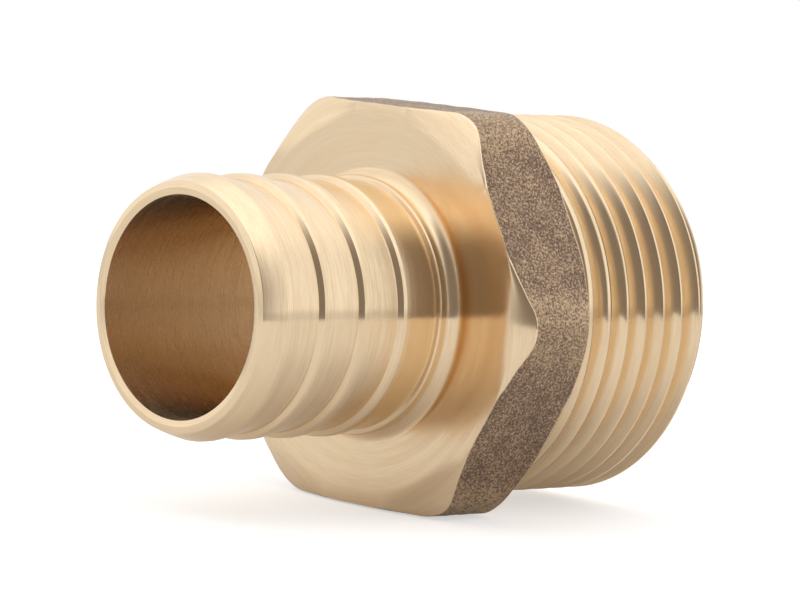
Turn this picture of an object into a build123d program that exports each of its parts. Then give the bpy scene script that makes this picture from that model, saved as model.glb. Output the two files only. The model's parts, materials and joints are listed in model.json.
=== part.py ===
"""Brass crimp adapter: a ribbed barb for plastic tube, a wrench hexagon and a male taper pipe thread.

The fitting is one casting, machined on the barb, the shoulder, the waterway and the thread. Its axis
is X. The origin is the middle of the flat shoulder behind the barb; the barb points to -X and the
thread to +X, and the hexagon lies with one flat down, towards -Z. All sizes are millimetres.
"""

import os
from math import atan, ceil, cos, degrees, radians, tan

from build123d import *

# Waterway: the barb's bore, a cone, then a wider bore through the threaded end
barb_bore_radius = 7.43
thread_bore_radius = 9.85
thread_bore_depth = 16.2  # threaded end to the wide end of the cone
bore_cone_angle = 59.0  # between the cone and the axis
thread_mouth_bevel = 0.4  # 45 degree bevel inside the threaded end

# Barb
barb_length = 17.22  # mouth to shoulder
rib_radius = 8.88
rib_height = 0.38  # crest above land
rib_pitch = 3.57
rib_count = 3  # ribs behind the nose, one pitch apart
rib_ramp_length = 0.23  # steep rise from the land
rib_brow_length = 0.26  # gentle slope from the ramp to the crest
rib_brow_height = 0.06
rib_crest_length = 0.48
root_rib_gap = 1.17  # last rib's rear edge to the shoulder
root_rib_ramp_length = 0.09
root_rib_brow_length = 0.14
root_rib_crest_length = 0.34

# Nose of the barb
lip_width = 0.9  # from the bore to the taper, with a ridge along its middle
lip_height = 0.12
nose_taper_length = 1.62
nose_crest_length = 0.51

# Shoulder and wrench hexagon
shoulder_fillet = 0.96
hex_across_flats = 27.55
hex_length = 7.06
hex_corner_radius = 3.25
front_chamfer_width = 0.12  # chamfer's inner edge outside the flats' inscribed circle
front_chamfer_angle = 34.1  # between the chamfer and the shoulder
rear_chamfer_width = 0.23
rear_chamfer_angle = 37.1

# Male taper pipe thread, right hand, 14 threads to the inch
thread_length = 14.15  # hexagon to threaded end
thread_crest_radius = 13.26  # where the end chamfer starts
thread_taper = 1 / 32  # radius gained per millimetre towards the hexagon
thread_pitch = 25.4 / 14
thread_flat = 0.12  # width of the flat on the crests; the roots are sharp
thread_half_angle = 30.0  # between a flank and the plane across the axis
first_crest_gap = 0.45  # chamfer to the middle of the first crest, on the -Y side
end_chamfer = 1.5  # 45 degrees

land_radius = rib_radius - rib_height
mouth_x = -barb_length
end_x = hex_length + thread_length
chamfer_x = end_x - end_chamfer
flat_distance = hex_across_flats / 2


def rib(rear_x, ramp_length, brow_length, crest_length):
    """Points of one rib, mouth end first: ramp, brow, crest and a square drop to the land."""
    crest_x = rear_x - crest_length
    brow_x = crest_x - brow_length
    return [
        (brow_x - ramp_length, land_radius),
        (brow_x, rib_radius - rib_brow_height),
        (crest_x, rib_radius),
        (rear_x, rib_radius),
        (rear_x, land_radius),
    ]


def barb_section():
    """Half section of the barb, from the axis at its mouth to the shoulder's plane."""
    lip_x = mouth_x + lip_height
    crest_x = lip_x + nose_taper_length
    nose = [
        (lip_x, 0),
        (lip_x, barb_bore_radius),
        (mouth_x, barb_bore_radius + lip_width / 2),
        (lip_x, barb_bore_radius + lip_width),
        (crest_x, rib_radius),
    ]
    nose_rear_x = crest_x + nose_crest_length
    lands = [(nose_rear_x, rib_radius), (nose_rear_x, land_radius)]
    for number in range(1, rib_count + 1):
        rear_x = nose_rear_x + number * rib_pitch
        lands += rib(rear_x, rib_ramp_length, rib_brow_length, rib_crest_length)
    lands += rib(-root_rib_gap, root_rib_ramp_length, root_rib_brow_length, root_rib_crest_length)
    lands.append((-shoulder_fillet, land_radius))
    with BuildSketch() as section:
        with BuildLine():
            Polyline(*nose, *lands)
            RadiusArc(lands[-1], (0, land_radius + shoulder_fillet), -shoulder_fillet)
            Polyline((0, land_radius + shoulder_fillet), (0, 0), (lip_x, 0))
        make_face()
    return section.sketch


def crest_radius(x):
    """Radius of the cone that the thread's crests lie on."""
    return thread_crest_radius + (chamfer_x - x) * thread_taper


def turned(*points):
    """Solid of revolution about X of an outline given by (x, radius) points."""
    with BuildSketch() as section:
        with BuildLine():
            Polyline(*points, close=True)
        make_face()
    return revolve(section.sketch, Axis.X)


def thread_groove(start_x, stop_x):
    """The thread's groove, a solid between three helices: its root and the two edges of its mouth. Its middle
    passes half a pitch ahead of each crest, so on top, a quarter turn before the -Y side, it is a quarter pitch
    ahead of it."""
    slope = tan(radians(thread_half_angle))
    depth = (thread_pitch - thread_flat) / 2 / slope
    clearance = 0.05  # the mouth's edges lie this far outside the crests' cone
    mouth_half = (depth + clearance) * slope

    def helix(offset_x, outward):
        return Edge.make_helix(
            pitch=thread_pitch,
            height=stop_x - start_x,
            radius=crest_radius(start_x) + outward,
            center=(start_x + offset_x, 0, 0),
            normal=(1, 0, 0),
            angle=-degrees(atan(thread_taper)),
        )

    root = helix(0, -depth)
    rear = helix(-mouth_half, clearance)
    front = helix(mouth_half, clearance)
    pairs = [(root, rear), (root, front), (rear, front)]
    sides = [Face.make_surface_from_curves(*pair) for pair in pairs]
    ends = [Face(Wire.make_polygon([root @ end, rear @ end, front @ end])) for end in (0, 1)]
    return Solid(Shell(sides + ends))


def thread():
    """The threaded end. The groove is cut in a cone that is too long at both ends: the hexagon hides the
    groove's start, and the end chamfer's outline takes its other end away."""
    first_x = chamfer_x - first_crest_gap + thread_pitch / 4
    turns = ceil((first_x - hex_length) / thread_pitch) + 1
    start_x = first_x - turns * thread_pitch
    stop_x = end_x + thread_pitch
    long_x = stop_x + 2 * thread_pitch
    cone = turned((0, 0), (0, crest_radius(0)), (long_x, crest_radius(long_x)), (long_x, 0))
    outline = turned(
        (0, 0),
        (0, crest_radius(0)),
        (chamfer_x, thread_crest_radius),
        (end_x, thread_crest_radius - end_chamfer),
        (end_x, 0),
    )
    return (cone - thread_groove(start_x, stop_x)) & outline


def hexagon():
    """Wrench hexagon with rounded corners, cut back by a cone at each end."""
    front_radius = flat_distance + front_chamfer_width
    rear_radius = flat_distance + rear_chamfer_width
    front_slope = tan(radians(front_chamfer_angle))
    rear_slope = tan(radians(rear_chamfer_angle))
    with BuildPart() as collar:
        with BuildSketch(Plane.YZ):
            RegularPolygon(flat_distance, 6, major_radius=False)
            fillet(vertices(), hex_corner_radius)
        extrude(amount=hex_length)
    # The cones run out to where the hexagon's corners would be if they were sharp
    reach = flat_distance / cos(radians(30))
    cones = turned(
        (0, 0),
        (0, front_radius),
        ((reach - front_radius) * front_slope, reach),
        (hex_length - (reach - rear_radius) * rear_slope, reach),
        (hex_length, rear_radius),
        (hex_length, 0),
    )
    return collar.part & cones


def waterway():
    """The bore of the barb, the cone and the wider bore, with a bevel at the threaded end."""
    cone_end_x = end_x - thread_bore_depth
    cone_start_x = cone_end_x - (thread_bore_radius - barb_bore_radius) / tan(radians(bore_cone_angle))
    return turned(
        (mouth_x, 0),
        (mouth_x, barb_bore_radius),
        (cone_start_x, barb_bore_radius),
        (cone_end_x, thread_bore_radius),
        (end_x - thread_mouth_bevel, thread_bore_radius),
        (end_x, thread_bore_radius + thread_mouth_bevel),
        (end_x, 0),
    )


def fitting_body():
    """The whole fitting, in one piece."""
    barb = revolve(barb_section(), Axis.X)
    return barb + hexagon() + thread() - waterway()


os.makedirs("parts", exist_ok=True)
export_step(fitting_body(), "parts/fitting_body.step")
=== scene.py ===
"""Looks of a brass crimp adapter: ribbed barb, wrench hexagon and male taper pipe thread in one casting.

The casting's surface is one closed skin, worked out with numpy around the packed CAD body. The axis is
X, the origin is the middle of the shoulder behind the barb, and lengths are metres.
"""

import json
from math import cos, pi, radians, sin, tan

import bpy
import numpy as np
from mathutils import Matrix, Vector


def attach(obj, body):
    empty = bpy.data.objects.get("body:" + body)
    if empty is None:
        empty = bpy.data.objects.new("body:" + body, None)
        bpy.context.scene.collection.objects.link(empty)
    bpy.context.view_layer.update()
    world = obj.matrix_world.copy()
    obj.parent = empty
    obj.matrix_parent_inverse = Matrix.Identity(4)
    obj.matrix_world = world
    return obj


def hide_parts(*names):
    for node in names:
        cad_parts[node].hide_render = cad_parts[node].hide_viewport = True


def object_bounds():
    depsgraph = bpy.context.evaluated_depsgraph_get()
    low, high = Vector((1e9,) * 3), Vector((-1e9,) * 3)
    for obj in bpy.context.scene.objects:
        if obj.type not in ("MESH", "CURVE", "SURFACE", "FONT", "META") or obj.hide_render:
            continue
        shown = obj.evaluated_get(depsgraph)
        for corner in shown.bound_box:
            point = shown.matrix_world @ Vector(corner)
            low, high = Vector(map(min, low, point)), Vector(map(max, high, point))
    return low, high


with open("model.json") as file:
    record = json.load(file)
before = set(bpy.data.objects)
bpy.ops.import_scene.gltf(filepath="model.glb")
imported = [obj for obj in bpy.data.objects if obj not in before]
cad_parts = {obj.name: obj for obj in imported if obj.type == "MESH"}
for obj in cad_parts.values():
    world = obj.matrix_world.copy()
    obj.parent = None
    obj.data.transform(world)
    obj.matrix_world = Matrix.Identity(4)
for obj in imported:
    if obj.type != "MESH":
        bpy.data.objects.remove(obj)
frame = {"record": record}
cad_low, cad_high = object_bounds()

bl_info = {
    "name": "Crimp Adapter",
    "version": (1, 0, 0),
    "blender": (4, 5, 0),
    "location": "3D View > Sidebar > Adapter",
    "description": "Makes the skin, the brass finishes and the studio of a crimp pipe adapter",
    "category": "Add Mesh",
}

MM = 0.001
BODY_NODE = "fitting_body"
SKIN_NAME = "fitting_skin"


def mount(name):
    """A mount of the packed record, by name."""
    return next(m for m in frame["record"]["mounts"] if m["name"] == name)


def mount_radius(name):
    """Radius of a mount in metres."""
    return mount(name)["dims"]["r_mm"] * MM


def length(name, description, millimetres):
    """A length property with its default given in millimetres."""
    return bpy.props.FloatProperty(
        name=name, description=description, default=millimetres * MM, unit="LENGTH", precision=5
    )


def tint(name, description, rgb):
    """A colour property, in linear values."""
    return bpy.props.FloatVectorProperty(
        name=name, description=description, default=rgb, subtype="COLOR", size=3, min=0.0, max=1.0
    )


# ---------------------------------------------------------------------------------------------
# Sizes and colours
# ---------------------------------------------------------------------------------------------


class BarbSizes(bpy.types.PropertyGroup):
    """Sizes of the barb that takes the tube."""

    rib_radius: length("Rib radius", "Radius of the rib crests", 8.88)
    rib_height: length("Rib height", "Height of a crest above the land", 0.38)
    rib_pitch: length("Rib pitch", "Distance between ribs", 3.57)
    rib_count: bpy.props.IntProperty(
        name="Ribs", description="Ribs behind the nose, one pitch apart", default=3, min=1
    )
    ramp_length: length("Ramp", "Length of the steep rise from the land", 0.23)
    brow_length: length("Brow", "Length of the gentle slope up to the crest", 0.26)
    brow_height: length("Brow height", "Rise of the gentle slope", 0.06)
    crest_length: length("Crest", "Length of a rib's crest", 0.48)
    root_gap: length("Root gap", "Last rib's rear edge to the shoulder", 1.17)
    root_ramp_length: length("Root ramp", "Ramp of the last rib", 0.09)
    root_brow_length: length("Root brow", "Brow of the last rib", 0.14)
    root_crest_length: length("Root crest", "Crest of the last rib", 0.34)
    lip_width: length("Lip width", "Ridged lip, from the bore to the nose's taper", 0.9)
    lip_height: length("Lip height", "How far the lip's ridge stands ahead of its edges", 0.12)
    nose_taper_length: length("Nose taper", "Length of the nose's taper", 1.62)
    nose_taper_bulge: length("Nose bulge", "How far the taper bulges", 0.03)
    nose_crest_length: length("Nose crest", "Length of the nose's crest", 0.51)
    shoulder_fillet: length("Root fillet", "Radius between the barb and the shoulder", 0.96)


class CollarSizes(bpy.types.PropertyGroup):
    """Sizes of the wrench hexagon."""

    collar_length: length("Length", "Shoulder to the hexagon's rear face", 7.06)
    corner_radius: length("Corner radius", "Rounding of the six corners", 3.25)
    front_chamfer_width: length("Front chamfer", "Chamfer's inner edge outside the flats", 0.12)
    front_chamfer_angle: bpy.props.FloatProperty(
        name="Front angle", description="Between the front chamfer and the shoulder",
        default=radians(34.1), subtype="ANGLE",
    )
    rear_chamfer_width: length("Rear chamfer", "Chamfer's inner edge outside the flats", 0.23)
    rear_chamfer_angle: bpy.props.FloatProperty(
        name="Rear angle", description="Between the rear chamfer and the rear face",
        default=radians(37.1), subtype="ANGLE",
    )
    skin_relief: length("Skin relief", "Depth of the unevenness of the cast flats", 0.05)


class ThreadSizes(bpy.types.PropertyGroup):
    """Sizes of the male taper pipe thread."""

    pitch: length("Pitch", "Distance between crests, 14 threads to the inch", 25.4 / 14)
    crest_radius: length("Crest radius", "Crest radius where the end chamfer starts", 13.26)
    taper: bpy.props.FloatProperty(
        name="Taper", description="Radius gained per unit of length towards the hexagon", default=1 / 32
    )
    crest_width: length("Crest width", "Width of the flat on each crest", 0.15)
    flank_angle: bpy.props.FloatProperty(
        name="Flank angle", description="Between a flank and the plane across the axis",
        default=radians(30), subtype="ANGLE",
    )
    end_chamfer: length("End chamfer", "45 degree chamfer at the threaded end", 1.5)
    first_gap: length("First gap", "Chamfer to the first crest's middle, on the -Y side", 0.45)


class WaterwaySizes(bpy.types.PropertyGroup):
    """Sizes of the bores. Their radii come from the packed record."""

    barb_bore_radius: bpy.props.FloatProperty(
        name="Barb bore", description="Radius of the barb's bore",
        default=mount_radius("barb_bore"), unit="LENGTH", precision=5,
    )
    thread_bore_radius: bpy.props.FloatProperty(
        name="Thread bore", description="Radius of the bore through the threaded end",
        default=mount_radius("thread_bore"), unit="LENGTH", precision=5,
    )
    thread_bore_depth: length("Depth", "Threaded end to the wide end of the cone", 16.2)
    cone_angle: bpy.props.FloatProperty(
        name="Cone angle", description="Between the cone and the axis",
        default=radians(59), subtype="ANGLE",
    )
    thread_mouth_bevel: length("End bevel", "45 degree bevel in the threaded end", 0.4)


class BrassColours(bpy.types.PropertyGroup):
    """Colours of the finishes."""

    turned: tint("Turned brass", "Clean machined brass", (0.91, 0.73, 0.50))
    turned_dull: tint("Dull brass", "Brass in the valleys of the tool marks", (0.82, 0.62, 0.40))
    # Painted shade: the bore's two colours are darker than the turned brass. This is partly because bored
    # brass is duller, and partly to paint the shade that falls inside the waterway.
    bored_with_painted_shade: tint("Bored brass", "Duller brass of the waterway", (0.74, 0.56, 0.36))
    bored_dull_with_painted_shade: tint("Dull bored brass", "Brass in the valleys of the bore's tool marks", (0.68, 0.49, 0.31))
    cast_dark: tint("Cast skin", "Dark oxide of the cast flats", (0.16, 0.095, 0.07))
    cast_grain: tint("Cast grain", "Bright grains in the cast skin", (0.68, 0.50, 0.31))


class StudioSettings(bpy.types.PropertyGroup):
    """Camera, floor and light."""

    azimuth: bpy.props.FloatProperty(
        name="Azimuth", description="Camera's direction round the part", default=radians(-44.36),
        subtype="ANGLE",
    )
    elevation: bpy.props.FloatProperty(
        name="Elevation", description="Camera's height above the horizon", default=radians(5.34),
        subtype="ANGLE",
    )
    roll: bpy.props.FloatProperty(
        name="Roll", description="Turn of the camera about its own axis", default=radians(4.24),
        subtype="ANGLE",
    )
    distance: length("Distance", "Camera to the point it looks at", 307.5)
    aim: bpy.props.FloatVectorProperty(
        name="Aim", description="Point the camera looks at",
        default=(3.2 * MM, -0.03 * MM, -0.21 * MM), unit="LENGTH", size=3, precision=5,
    )
    lens: bpy.props.FloatProperty(
        name="Lens", description="Focal length in millimetres", default=200.9, subtype="DISTANCE_CAMERA"
    )
    floor_radius: length("Floor radius", "Radius of the round table top", 200.0)
    overhead: bpy.props.FloatProperty(
        name="Overhead", description="Brightness of the tent straight above, its sides being 1", default=1.3
    )
    edge_dimming: bpy.props.FloatProperty(
        name="Edge", description="Brightness of the tent just above the table's edge", default=0.75
    )
    room_height: bpy.props.FloatProperty(
        name="Room height", description="Elevation of the dim room's middle", default=radians(12),
        subtype="ANGLE",
    )
    room_colour: tint("Room", "Light from the dim room round the camera", (0.24, 0.21, 0.19))
    table_colour: tint("Table", "Colour of the table top", (0.7, 0.69, 0.68))


GROUPS = {
    "adapter_barb": BarbSizes,
    "adapter_collar": CollarSizes,
    "adapter_thread": ThreadSizes,
    "adapter_waterway": WaterwaySizes,
    "adapter_brass": BrassColours,
    "adapter_studio": StudioSettings,
}

# ---------------------------------------------------------------------------------------------
# Surfaces
# ---------------------------------------------------------------------------------------------

COLUMNS = 396  # a multiple of twelve, so that the hexagon's corners and flats fall on columns
EASE = 0.03 * MM  # how far a turned edge is broken
THREAD_EASE = 0.012 * MM  # how far the thread's crests and roots are broken
BURR = 0.08 * MM  # width of the bright burr where a chamfer meets the cast flats
SAME_PLACE = 1e-8  # points nearer than this, in metres, are one point
FACE_ROWS = 3  # rows across the shoulder's face, between the fillet and the front chamfer
CHAMFER_ROWS = 2  # rows of a chamfer, one at each of its edges
FLAT_ROWS = 13  # rows over the flats
RING_BANDS = 3  # bands of faces on the end ring, up to the bevel inside it
TURNED, CAST, BORE = range(3)  # the finishes, in the order of the skin's materials
angles = np.arange(COLUMNS) * 2 * pi / COLUMNS


def ease_corners(outline):
    """Rows of a turned outline. Each corner with an ease becomes a short quadratic curve of three points,
    (P - e u, P / 2 + (P - e u + P + e v) / 4, P + e v), where u and v are the directions in and out; a
    point with no ease stays as it is. The ease is kept under four tenths of the shorter side."""
    outline = np.asarray(outline, float)
    points, ease = outline[:, :2], outline[:, 2].copy()
    ease[[0, -1]] = 0
    step = np.diff(points, axis=0)
    run = np.linalg.norm(step, axis=1)
    unit = step / run[:, None]
    reach_in = np.concatenate([[0], np.minimum(ease[1:], 0.4 * run)])
    reach_out = np.concatenate([np.minimum(ease[:-1], 0.4 * run), [0]])
    # A side that has no length to give leaves the reach to the other side
    side_in = np.where(reach_in > 0, reach_in, reach_out)
    side_out = np.where(reach_out > 0, reach_out, reach_in)
    reach = np.minimum(side_in, side_out)
    before = points - reach[:, None] * np.vstack([unit[:1], unit])
    after = points + reach[:, None] * np.vstack([unit, unit[-1:]])
    middle = points / 2 + (before + after) / 4
    rows = np.stack([before, middle, after], axis=1)
    keep = np.stack([ease > 0, np.ones_like(ease, bool), ease > 0], axis=1)
    return rows[keep]


def around(rows):
    """Spreads (axial, radial) rows over all columns: two arrays of rows by columns."""
    rows = np.asarray(rows, float)
    flat = np.ones((1, COLUMNS))
    return rows[:, :1] * flat, rows[:, 1:2] * flat


def wander(along, about, seed, waves=24, size=1.5 * MM, radius=13.5 * MM):
    """Smooth unevenness, mostly between -1 and 1: a sum of sine waves in random directions over the unrolled
    surface, with whole numbers of waves round the axis so that it closes on itself."""
    random = np.random.default_rng(seed)
    total = 0
    for _ in range(waves):
        turns = random.integers(1, int(2 * pi * radius / size))
        slope = random.normal() / size * 2 * pi
        total = total + np.sin(turns * about + slope * along + random.uniform(0, 2 * pi))
    return total / np.sqrt(waves) / 2


def arc(centre, radius, start, end, steps):
    """Points on a circle in the (axial, radial) plane, angles in radians, ends included, unbroken."""
    turn = np.linspace(start, end, steps + 1)
    return np.column_stack(
        [centre[0] + radius * np.cos(turn), centre[1] + radius * np.sin(turn), np.zeros_like(turn)]
    )


def barb_rows(barb, bore):
    """Rows from the lip's inner edge along the barb to the shoulder: the lip's ridge, the nose's taper with
    a parabolic bulge, lands and ribs, then the root fillet's quarter circle."""
    land = barb.rib_radius - barb.rib_height
    half_lip = barb.lip_width / 2
    lip_x = cad_low.x + barb.lip_height
    lip_end = bore.barb_bore_radius + barb.lip_width
    crest_x = lip_x + barb.nose_taper_length
    nose_rear_x = crest_x + barb.nose_crest_length
    lip = [
        (lip_x - EASE * barb.lip_height / half_lip, bore.barb_bore_radius + EASE, 0.0),
        (cad_low.x, bore.barb_bore_radius + half_lip, 2 * EASE),
        (lip_x, lip_end, EASE),
    ]
    share = np.linspace(0.0, 1.0, 7)[1:-1]
    taper = np.column_stack([
        lip_x + barb.nose_taper_length * share,
        lip_end + (barb.rib_radius - lip_end) * share + 4 * barb.nose_taper_bulge * share * (1 - share),
        np.zeros_like(share),
    ])

    def rib(rear_x, ramp, brow, crest):
        crest_start = rear_x - crest
        brow_start = crest_start - brow
        return np.array([
            (brow_start - ramp, land, EASE),
            (brow_start, barb.rib_radius - barb.brow_height, EASE),
            (crest_start, barb.rib_radius, EASE),
            (rear_x, barb.rib_radius, EASE),
            (rear_x, land, EASE),
        ])

    ribs = [
        rib(nose_rear_x + n * barb.rib_pitch, barb.ramp_length, barb.brow_length, barb.crest_length)
        for n in range(1, barb.rib_count + 1)
    ]
    root = rib(-barb.root_gap, barb.root_ramp_length, barb.root_brow_length, barb.root_crest_length)
    fillet = arc(
        (-barb.shoulder_fillet, land + barb.shoulder_fillet), barb.shoulder_fillet, -pi / 2, 0.0, 8
    )
    outline = np.vstack([
        lip,
        taper,
        [(crest_x, barb.rib_radius, EASE), (nose_rear_x, barb.rib_radius, EASE), (nose_rear_x, land, EASE)],
        *ribs,
        root,
        fillet,
    ])
    return around(ease_corners(outline))


def hexagon_radius(about, apothem, corner):
    """Distance from the axis to a hexagon with rounded corners: apothem over the cosine of the angle from
    the nearest flat's middle, or the far side of the corner's circle beyond the tangent point."""
    off_flat = (about - pi / 2 + pi / 6) % (pi / 3) - pi / 6
    centre = (apothem - corner) / cos(pi / 6)
    tangent = np.arctan2(centre / 2, apothem)
    off_corner = np.abs(off_flat) - pi / 6
    rounded = centre * np.cos(off_corner) + np.sqrt(corner**2 - (centre * np.sin(off_corner)) ** 2)
    return np.where(np.abs(off_flat) > tangent, rounded, apothem / np.cos(off_flat))


def collar_rows(collar, fillet_end):
    """Rows over the shoulder, the front chamfer, the flats, the rear chamfer and the rear face. On each
    column the chamfers are straight lines between their cone's inner edge and the hexagon's radius. The
    cast flats sink below the true hexagon by a smooth unevenness."""
    apothem = abs(mount("wrench_flat")["pos_m"][2])
    rear_x = collar.collar_length
    front_slope, rear_slope = tan(collar.front_chamfer_angle), tan(collar.rear_chamfer_angle)
    front_r, rear_r = apothem + collar.front_chamfer_width, apothem + collar.rear_chamfer_width
    true = hexagon_radius(angles, apothem, collar.corner_radius)

    def skin(along, about):
        sunk = 0.5 + 0.5 * wander(along, about, seed=3)
        return true - collar.skin_relief * np.clip(sunk, 0, 1)

    zero = np.zeros(COLUMNS)
    inset = 0.8 * MM  # how far in from its two ends the flats' unevenness is read for their edges
    front_edge = skin(inset, angles)
    rear_edge = skin(rear_x - inset, angles)
    face_r = np.minimum(front_r, front_edge)
    back_r = np.minimum(rear_r, rear_edge)
    front_x = front_slope * (front_edge - face_r)
    back_x = rear_x - rear_slope * (rear_edge - back_r)

    # Shoulder
    share = np.linspace(0, 1, FACE_ROWS + 2)[1:-1, None]
    rows_x = [np.repeat(zero[None], FACE_ROWS, axis=0)]
    rows_r = [fillet_end + (face_r - EASE - fillet_end) * share]
    # Front chamfer, then the flats with their broken edges, then the rear chamfer and face
    share = np.linspace(0, 1, FLAT_ROWS)[:, None]
    flat_x = front_x + BURR + (back_x - front_x - 2 * BURR) * share
    fade = 1 / 8  # share of the flats' length over which the unevenness gives way to the straight edge
    blend = np.clip(np.minimum(share, 1 - share) / fade, 0, 1)
    flat_r = (1 - blend) * np.where(share < 0.5, front_edge, rear_edge) + blend * skin(flat_x, angles)
    rows_x += [zero[None], (front_x - BURR * front_slope).clip(0)[None], flat_x,
               (back_x + BURR * rear_slope).clip(None, rear_x)[None], np.full((1, COLUMNS), rear_x)]
    rows_r += [face_r[None], np.maximum(front_edge - BURR, face_r)[None], flat_r,
               np.maximum(rear_edge - BURR, back_r)[None], back_r[None]]
    return np.vstack(rows_x), np.vstack(rows_r)


def thread_profile(thread):
    """One turn of the thread in the axial plane: places along the pitch from the middle of a crest, and
    depths below the crests' cone. The crest's corners and the root are broken."""
    flank = (thread.pitch - thread.crest_width) / 2
    quarters = flank * np.array([0.25, 0.5, 0.75])
    along_flank = np.concatenate([[THREAD_EASE], quarters, [flank - THREAD_EASE]])
    half = np.concatenate([[thread.crest_width / 2 - THREAD_EASE], thread.crest_width / 2 + along_flank])
    sunk = np.concatenate([[0], along_flank / tan(thread.flank_angle)])
    places = np.concatenate([half, [thread.pitch / 2], thread.pitch - half[::-1]])
    root = (flank - THREAD_EASE / 2) / tan(thread.flank_angle)
    depths = np.concatenate([sunk, [root], sunk[::-1]])
    return places, depths


def thread_rows(thread, start_x):
    """Rows that follow the right-hand helix, the surface's radius at a given x on every column, and the
    number of rows in a turn. Row i on column j lies at place[i] + pitch * angle[j] / turn, held between the
    hexagon and the threaded end. The radius is the tapered crest line less the profile's depth, cut by the
    chamfer at the end. The turns run past the hexagon at one end and past the threaded end at the other."""
    end_x = cad_high.x
    places, depths = thread_profile(thread)
    chamfer_x = end_x - thread.end_chamfer
    lead = thread.pitch * angles / (2 * pi)
    # On the -Y side, half a turn on from the first column, a crest lies just ahead of the chamfer
    first = chamfer_x - thread.first_gap - thread.pitch / 2

    def radius_at(x):
        sunk = np.interp(x - lead - first, places, depths, period=thread.pitch)
        crest = thread.crest_radius + (chamfer_x - x) * thread.taper - sunk
        return np.minimum(crest, thread.crest_radius - (x - chamfer_x).clip(0))

    turns_back = int((first - start_x) / thread.pitch) + 2
    turns_on = int((end_x - first) / thread.pitch) + 2
    shifts = np.arange(-turns_back, turns_on) * thread.pitch
    place = (first + shifts[:, None] + places[None]).ravel()
    x = (place[:, None] + lead[None]).clip(start_x, end_x)
    return x, radius_at, len(places)


def waterway_rows(bore, lip_x, ring_radius):
    """Rows over the end ring, from just inside the thread, and back along the waterway to the mouth."""
    end_x = cad_high.x
    cone_end = end_x - bore.thread_bore_depth
    cone_start = cone_end - (bore.thread_bore_radius - bore.barb_bore_radius) / tan(bore.cone_angle)
    bevel = bore.thread_mouth_bevel
    inset = 5 * MM  # the barb's bore has a row this far in from each of its ends
    outline = [
        (end_x, ring_radius, 0.0),
        (end_x, bore.thread_bore_radius + bevel, EASE),
        (end_x - bevel, bore.thread_bore_radius, EASE),
        (cone_end, bore.thread_bore_radius, EASE),
        (cone_start, bore.barb_bore_radius, EASE),
        (cone_start - inset, bore.barb_bore_radius, 0.0),
        (lip_x + inset, bore.barb_bore_radius, 0.0),
        (lip_x + EASE, bore.barb_bore_radius, 0.0),
    ]
    return around(ease_corners(outline))


def weighted_normals(points, faces):
    """Normals of the vertices: the sum of the face normals round each, weighted by area, made unit."""
    corner = points[faces]
    normal = np.cross(corner[:, 2] - corner[:, 0], corner[:, 3] - corner[:, 1])
    total = np.zeros_like(points)
    for k in range(4):
        np.add.at(total, faces[:, k], normal)
    return total / np.linalg.norm(total, axis=1, keepdims=True).clip(1e-12)


class Skin:
    """Gathers the rows and faces of the closed skin. A face is a quad; repeated corners make a triangle."""

    def __init__(self):
        self.points, self.faces, self.finish = [], [], []
        self.count = 0

    def add_points(self, x, r):
        """Adds rows of axial and radial places, one for each column, and returns their points' numbers."""
        numbers = self.count + np.arange(x.size).reshape(x.shape)
        self.points.append(np.stack([x, r * np.cos(angles), r * np.sin(angles)], axis=-1).reshape(-1, 3))
        self.count += x.size
        return numbers

    def add_faces(self, low, high, low_next, high_next, finish):
        """Adds quads between rows low and high and their neighbours in the next column."""
        quads = np.stack([low, low_next, high_next, high], axis=-1).reshape(-1, 4)
        self.faces.append(quads)
        self.finish.append(np.broadcast_to(finish, low.shape).ravel())

    def add_band(self, numbers, finish):
        """Adds the faces of a band of rows that closes round the axis."""
        ahead = np.roll(numbers, -1, axis=1)
        self.add_faces(numbers[:-1], numbers[1:], ahead[:-1], ahead[1:], finish)

    def joined(self):
        """The points, faces and finishes, closed up where points lie on one another."""
        return close_up(np.concatenate(self.points), np.concatenate(self.faces), np.concatenate(self.finish))


def build_skin(scene):
    """The closed skin of the casting, row by row from the mouth over the outside to the hexagon's rear face,
    then the thread's helical rows, then the end ring and the waterway back to the mouth."""
    barb, collar = scene.adapter_barb, scene.adapter_collar
    thread, bore = scene.adapter_thread, scene.adapter_waterway
    skin = Skin()

    start_x = collar.collar_length
    helix_x, radius_at, per_turn = thread_rows(thread, start_x)
    barb_x, barb_r = barb_rows(barb, bore)
    collar_x, collar_r = collar_rows(collar, barb_r[-1])
    # The thread's foot on the hexagon's rear face, and a row just outside it, so that the corner stays sharp
    foot_x = np.full((2, COLUMNS), start_x)
    foot_r = radius_at(foot_x)
    foot_r[0] += EASE
    outer = skin.add_points(np.vstack([barb_x, collar_x, foot_x]), np.vstack([barb_r, collar_r, foot_r]))
    finish = np.full((len(outer) - 1, 1), TURNED)
    first_flat = len(barb_x) + FACE_ROWS + CHAMFER_ROWS
    finish[first_flat : first_flat + FLAT_ROWS - 1] = CAST
    skin.add_band(outer, finish)

    end_x = np.full((1, COLUMNS), cad_high.x)
    end_r = radius_at(end_x)
    inner_x, inner_r = waterway_rows(bore, cad_low.x + barb.lip_height, end_r.min() - EASE)
    inner = skin.add_points(np.vstack([end_x, inner_x]), np.vstack([end_r, inner_r]))
    finish = np.full((len(inner) - 1, 1), BORE)
    finish[:RING_BANDS] = TURNED
    skin.add_band(inner, finish)
    skin.add_band(np.stack([inner[-1], outer[0]]), TURNED)

    # One turn on, a row becomes the row one turn further along; the last rows all lie on the end ring
    helix = skin.add_points(helix_x, radius_at(helix_x))
    after_last = np.concatenate([helix[per_turn:, 0], np.full(per_turn, inner[0, 0])])
    ahead = np.column_stack([helix[:, 1:], after_last])
    skin.add_faces(helix[:-1], helix[1:], ahead[:-1], ahead[1:], TURNED)
    return skin.joined()


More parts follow.
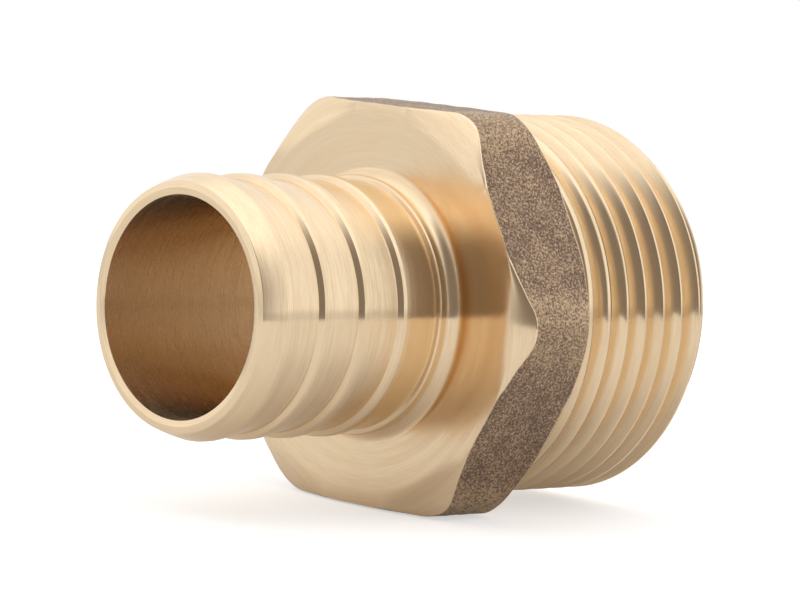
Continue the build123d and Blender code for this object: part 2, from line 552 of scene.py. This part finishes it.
def close_up(points, faces, finish):
    """Joins points at one place, drops faces with fewer than three corners left and unused points."""
    keys = np.round(points / SAME_PLACE).astype(np.int64)
    _, first, same = np.unique(keys, axis=0, return_index=True, return_inverse=True)
    faces = same.reshape(-1)[faces]
    points = points[first]
    distinct = np.array([(faces[:, k] != faces[:, k - 1]) for k in range(4)]).sum(0)
    crossed = (faces[:, 0] == faces[:, 2]) | (faces[:, 1] == faces[:, 3])
    keep = (distinct >= 3) & ~crossed
    faces, finish = faces[keep], finish[keep]
    used, renumbered = np.unique(faces, return_inverse=True)
    return points[used], renumbered.reshape(faces.shape), finish


def mesh_from(name, points, faces, finish):
    """A mesh of quads and triangles, smooth, with area-weighted normals and a material for each face. A quad
    with a repeated corner is rolled until that corner stands first and last, and loses the last one."""
    short = np.zeros(len(faces), bool)
    for rolled in [np.roll(faces, -k, axis=1) for k in range(4)]:
        repeat = rolled[:, 0] == rolled[:, 3]
        short |= repeat
        faces = np.where(repeat[:, None], rolled, faces)
    kept = np.ones(faces.shape, bool)
    kept[:, 3] = ~short
    corners = kept.sum(axis=1)
    mesh = bpy.data.meshes.new(name)
    mesh.vertices.add(len(points))
    mesh.vertices.foreach_set("co", points.astype(np.float32).ravel())
    mesh.loops.add(int(corners.sum()))
    mesh.loops.foreach_set("vertex_index", faces[kept].astype(np.int32))
    mesh.polygons.add(len(faces))
    mesh.polygons.foreach_set("loop_start", (np.cumsum(corners) - corners).astype(np.int32))
    mesh.polygons.foreach_set("material_index", finish.astype(np.int32))
    mesh.polygons.foreach_set("use_smooth", np.ones(len(faces), bool))
    mesh.update(calc_edges=True)
    mesh.normals_split_custom_set_from_vertices(weighted_normals(points, faces))
    return mesh


# ---------------------------------------------------------------------------------------------
# Finishes
# ---------------------------------------------------------------------------------------------


class Shader:
    """Short hand for building the nodes of a material or a world."""

    def __init__(self, owner):
        owner.use_nodes = True
        self.tree = owner.node_tree
        self.tree.nodes.clear()

    def node(self, kind, inputs=None, **settings):
        """Adds a node, sets its settings, and links or sets its inputs."""
        made = self.tree.nodes.new("ShaderNode" + kind)
        for key, value in settings.items():
            setattr(made, key, value)
        for key, value in (inputs or {}).items():
            if isinstance(value, bpy.types.NodeSocket):
                self.tree.links.new(value, made.inputs[key])
            else:
                made.inputs[key].default_value = value
        return made

    def math(self, operation, *values):
        """The result of a Math node."""
        return self.node("Math", dict(enumerate(values)), operation=operation).outputs[0]

    def spread(self, value, low, high, to_low=0.0, to_high=1.0):
        """A value carried smoothly from one range to another."""
        inputs = {"Value": value, "From Min": low, "From Max": high, "To Min": to_low, "To Max": to_high}
        return self.node("MapRange", inputs, interpolation_type="SMOOTHSTEP").outputs[0]

    def noise(self, vector, scale, detail=2.0, roughness=0.5):
        """A noise value."""
        inputs = {"Vector": vector, "Scale": scale, "Detail": detail, "Roughness": roughness}
        return self.node("TexNoise", inputs).outputs["Fac"]

    def mix(self, share, first, second):
        """A colour between two."""
        made = self.node("Mix", data_type="RGBA")
        for socket, value in zip((made.inputs[0], made.inputs[6], made.inputs[7]), (share, first, second)):
            if isinstance(value, bpy.types.NodeSocket):
                self.tree.links.new(value, socket)
            else:
                socket.default_value = value if socket == made.inputs[0] else (*value, 1.0)
        return made.outputs[2]


def lathe_coordinates(shader, place):
    """A point's place along the axis and its distance from the axis, in millimetres, with a little of its
    place round the axis, so that a noise on them runs in long streaks round the axis."""
    x, y, z = shader.node("SeparateXYZ", {0: place}).outputs
    squares = shader.math("ADD", shader.math("MULTIPLY", y, y), shader.math("MULTIPLY", z, z))
    return shader.node("CombineXYZ", {
        0: shader.math("MULTIPLY", x, 1 / MM),
        1: shader.math("MULTIPLY", shader.math("SQRT", squares), 1 / MM),
        2: shader.math("MULTIPLY", shader.math("ADD", y, z), 0.06 / MM),
    }).outputs[0]


def turned_brass(name, bright, dull, roughness, marks):
    """Machined brass: fine tool marks round the axis, streaks of gloss, and faint stains. Reflections are
    stretched along the axis, across the tool marks."""
    material = bpy.data.materials.new(name)
    shader = Shader(material)
    place = shader.node("TexCoord").outputs["Object"]
    # Tool marks about 0.1 mm apart in bands of about 0.6 mm, stains of about 4 mm and grain of 0.1 mm
    streaks = lathe_coordinates(shader, place)
    fine = shader.noise(streaks, 9.0, detail=3.0, roughness=0.65)
    broad = shader.noise(streaks, 1.6, detail=2.0)
    stains = shader.noise(place, 260.0, detail=3.0)
    grain = shader.noise(place, 9000.0, detail=1.0)
    tone = shader.math("ADD", shader.math("MULTIPLY", fine, 0.6), shader.math("MULTIPLY", broad, 0.4))
    colour = shader.mix(shader.spread(tone, 0.35, 0.65, 0.3, 1.0), dull, bright)
    colour = shader.mix(shader.spread(stains, 0.55, 0.8, 0.0, 0.25), colour, dull)
    gloss = shader.spread(tone, 0.35, 0.65, roughness + 0.03, roughness - 0.03)
    height = shader.math("ADD", fine, shader.math("MULTIPLY", grain, 0.3))
    bump = shader.node("Bump", {"Strength": marks, "Distance": 0.012 * MM, "Height": height})
    around_axis = shader.node("Tangent", direction_type="RADIAL", axis="X")
    surface = shader.node("BsdfPrincipled", {
        "Base Color": colour, "Metallic": 1.0, "Roughness": gloss, "Normal": bump.outputs[0],
        "Anisotropic": 0.95, "Anisotropic Rotation": 0.25, "Tangent": around_axis.outputs[0],
    })
    shader.node("OutputMaterial", {"Surface": surface.outputs[0]})
    return material


def cast_skin(name, colours):
    """Cast brass with its oxide: dark, with dense bright grains, more of them in clouds and at the hexagon's
    corners, which lie where the cosine of three times the angle round the axis is 1 or -1."""
    material = bpy.data.materials.new(name)
    shader = Shader(material)
    place = shader.node("TexCoord").outputs["Object"]
    _, y, z = shader.node("SeparateXYZ", {0: place}).outputs
    turn = shader.math("MULTIPLY", shader.math("ARCTAN2", z, y), 3.0)
    corner = shader.spread(shader.math("ABSOLUTE", shader.math("COSINE", turn)), 0.75, 1.0, 0.0, 0.06)
    # Grains of about 0.15 mm, and clouds of about 2.4 mm
    speck = shader.noise(place, 6500.0, detail=3.0, roughness=0.8)
    clouds = shader.noise(place, 420.0, detail=3.0)
    share = shader.math("ADD", speck, shader.math("MULTIPLY", shader.math("SUBTRACT", clouds, 0.5), 0.15))
    share = shader.math("ADD", share, corner)
    colour = shader.mix(shader.spread(share, 0.43, 0.68), colours.cast_dark, colours.cast_grain)
    height = shader.math("ADD", speck, shader.math("MULTIPLY", clouds, 0.5))
    bump = shader.node("Bump", {"Strength": 0.5, "Distance": 0.05 * MM, "Height": height})
    surface = shader.node("BsdfPrincipled", {
        "Base Color": colour, "Metallic": 0.7, "Roughness": 0.5, "Normal": bump.outputs[0],
    })
    shader.node("OutputMaterial", {"Surface": surface.outputs[0]})
    return material


# ---------------------------------------------------------------------------------------------
# Studio
# ---------------------------------------------------------------------------------------------


TENT_WHITE = (1.03, 1.02, 1.01)  # light from the tent's sides


def place_camera(studio):
    """Puts the camera on the line of sight through the aim point, turned about that line by the roll."""
    a, e = studio.azimuth, studio.elevation
    back = Vector((sin(a) * cos(e), -cos(a) * cos(e), sin(e)))
    level = Vector((cos(a), sin(a), 0.0))
    upright = back.cross(level)
    right = level * cos(studio.roll) + upright * sin(studio.roll)
    up = back.cross(right)
    data = bpy.data.cameras.new("camera")
    data.lens = studio.lens
    data.clip_start, data.clip_end = 0.01, 10.0
    camera = bpy.data.objects.new("camera", data)
    bpy.context.scene.collection.objects.link(camera)
    turn = Matrix((right, up, back)).transposed().to_4x4()
    camera.matrix_world = Matrix.Translation(Vector(studio.aim) + back * studio.distance) @ turn
    bpy.context.scene.camera = camera


def table_top(studio):
    """A round table top under the lowest point: a disc of rings, made on a polar grid."""
    steps, sides = 12, 96
    gap = 0.002 * MM  # between the table and the part's lowest point
    rings = np.linspace(0, studio.floor_radius, steps + 1)
    turn = np.linspace(0, 2 * pi, sides + 1)[:-1]
    x = rings[1:, None] * np.cos(turn)
    y = rings[1:, None] * np.sin(turn)
    points = np.vstack([[(0, 0, 0)], np.column_stack([x.ravel(), y.ravel(), np.zeros(x.size)])])
    points[:, 2] += cad_low.z - gap
    number = 1 + np.arange(x.size).reshape(x.shape)
    ahead = np.roll(number, -1, axis=1)
    quads = np.stack([number[:-1], number[1:], ahead[1:], ahead[:-1]], axis=-1).reshape(-1, 4)
    middle = np.stack([np.zeros(sides, int), number[0], ahead[0]], axis=-1)
    mesh = bpy.data.meshes.new("table_top")
    mesh.from_pydata(points.tolist(), [], middle.tolist() + quads.tolist())
    mesh.materials.append(table_finish(studio))
    floor = bpy.data.objects.new("table_top", mesh)
    bpy.context.scene.collection.objects.link(floor)


def table_finish(studio):
    """White table: for the camera, and a little in reflections, partly its own light, so that it meets the
    white background, with the part's shadow kept on it; a plain pale surface for everything else."""
    material = bpy.data.materials.new("table_white")
    shader = Shader(material)
    rays = shader.node("LightPath").outputs
    seen = shader.math("MULTIPLY", rays["Is Camera Ray"], 0.55)
    mirrored = shader.math("MULTIPLY", rays["Is Glossy Ray"], 0.14)
    cloth = shader.node("BsdfDiffuse", {"Color": (*studio.table_colour, 1.0)})
    glow = shader.node("Emission", {"Color": (1, 1, 1, 1), "Strength": shader.math("ADD", seen, mirrored)})
    both = shader.node("AddShader", {0: cloth.outputs[0], 1: glow.outputs[0]})
    shader.node("OutputMaterial", {"Surface": both.outputs[0]})
    return material


def studio_light(studio):
    """World: white for the camera. For the part a soft bright tent, brighter overhead, a little darker just
    above the table's edge, with the dim room round the camera."""
    world = bpy.data.worlds.new("tent")
    bpy.context.scene.world = world
    tent = Shader(world)
    direction = tent.node("TexCoord").outputs["Generated"]
    height = tent.node("SeparateXYZ", {0: direction}).outputs[2]
    a = studio.azimuth
    room = (sin(a) * cos(studio.room_height), -cos(a) * cos(studio.room_height), sin(studio.room_height))
    # The height is the sine of the elevation, and what faces the room is the cosine of the angle to it
    towards = tent.node("VectorMath", {0: direction, 1: room}, operation="DOT_PRODUCT").outputs["Value"]
    dim = tent.spread(towards, 0.52, 0.88)
    overhead = tent.spread(height, 0.55, 0.95, 1.0, studio.overhead)
    edge = tent.spread(height, -0.01, 0.07, studio.edge_dimming, 1.0)
    level = tent.math("MULTIPLY", overhead, edge)
    cloth = tent.node("VectorMath", {0: TENT_WHITE, "Scale": level}, operation="SCALE").outputs[0]
    colour = tent.mix(dim, cloth, studio.room_colour)
    tent_light = tent.node("Background", {"Color": colour, "Strength": 1.0})
    white = tent.node("Background", {"Color": (1, 1, 1, 1), "Strength": 1.0})
    seen = tent.node("LightPath").outputs["Is Camera Ray"]
    both = tent.node("MixShader", {0: seen, 1: tent_light.outputs[0], 2: white.outputs[0]})
    tent.node("OutputWorld", {"Surface": both.outputs[0]})


# ---------------------------------------------------------------------------------------------
# Operators
# ---------------------------------------------------------------------------------------------


class ADAPTER_OT_stage(bpy.types.Operator):
    """Makes the table top, the light and the camera."""

    bl_idname = "adapter.stage"
    bl_label = "Make Stage"

    def execute(self, context):
        studio = context.scene.adapter_studio
        table_top(studio)
        studio_light(studio)
        place_camera(studio)
        context.scene.view_settings.view_transform = "Standard"
        return {"FINISHED"}


class ADAPTER_OT_fitting(bpy.types.Operator):
    """Makes the casting's skin in place of the plain CAD body."""

    bl_idname = "adapter.fitting"
    bl_label = "Make Fitting"

    def execute(self, context):
        scene = context.scene
        mesh = mesh_from(SKIN_NAME, *build_skin(scene))
        colours = scene.adapter_brass
        mesh.materials.append(turned_brass("turned_brass", colours.turned, colours.turned_dull, 0.17, 0.07))
        mesh.materials.append(cast_skin("cast_brass_skin", colours))
        # The waterway's brass: its darker colours are partly painted shade inside the bore
        mesh.materials.append(turned_brass("bored_brass_painted_shade", colours.bored_with_painted_shade, colours.bored_dull_with_painted_shade, 0.26, 0.12))
        piece = bpy.data.objects.new(SKIN_NAME, mesh)
        scene.collection.objects.link(piece)
        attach(piece, "root")
        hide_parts(BODY_NODE)
        return {"FINISHED"}


class ADAPTER_PT_panel(bpy.types.Panel):
    """Sidebar panel with the sizes and the operators."""

    bl_label = "Crimp Adapter"
    bl_space_type = "VIEW_3D"
    bl_region_type = "UI"
    bl_category = "Adapter"

    def draw(self, context):
        for operator in OPERATORS:
            self.layout.operator(operator.bl_idname)
        for attribute, group in GROUPS.items():
            box = self.layout.box()
            box.label(text=group.__doc__)
            for key in group.__annotations__:
                box.prop(getattr(context.scene, attribute), key)


OPERATORS = (ADAPTER_OT_stage, ADAPTER_OT_fitting)


def register():
    """Registers the classes and hangs the property groups on the scene."""
    for group in GROUPS.values():
        bpy.utils.register_class(group)
    for operator in OPERATORS:
        bpy.utils.register_class(operator)
    bpy.utils.register_class(ADAPTER_PT_panel)
    for attribute, group in GROUPS.items():
        setattr(bpy.types.Scene, attribute, bpy.props.PointerProperty(type=group))


def unregister():
    """Takes away what register added."""
    for attribute in GROUPS:
        delattr(bpy.types.Scene, attribute)
    bpy.utils.unregister_class(ADAPTER_PT_panel)
    for operator in reversed(OPERATORS):
        bpy.utils.unregister_class(operator)
    for group in reversed(list(GROUPS.values())):
        bpy.utils.unregister_class(group)


def main():
    """Registers the classes, and makes the stage and the fitting."""
    register()
    bpy.ops.adapter.stage()
    bpy.ops.adapter.fitting()


if __name__ == "__main__":
    main()
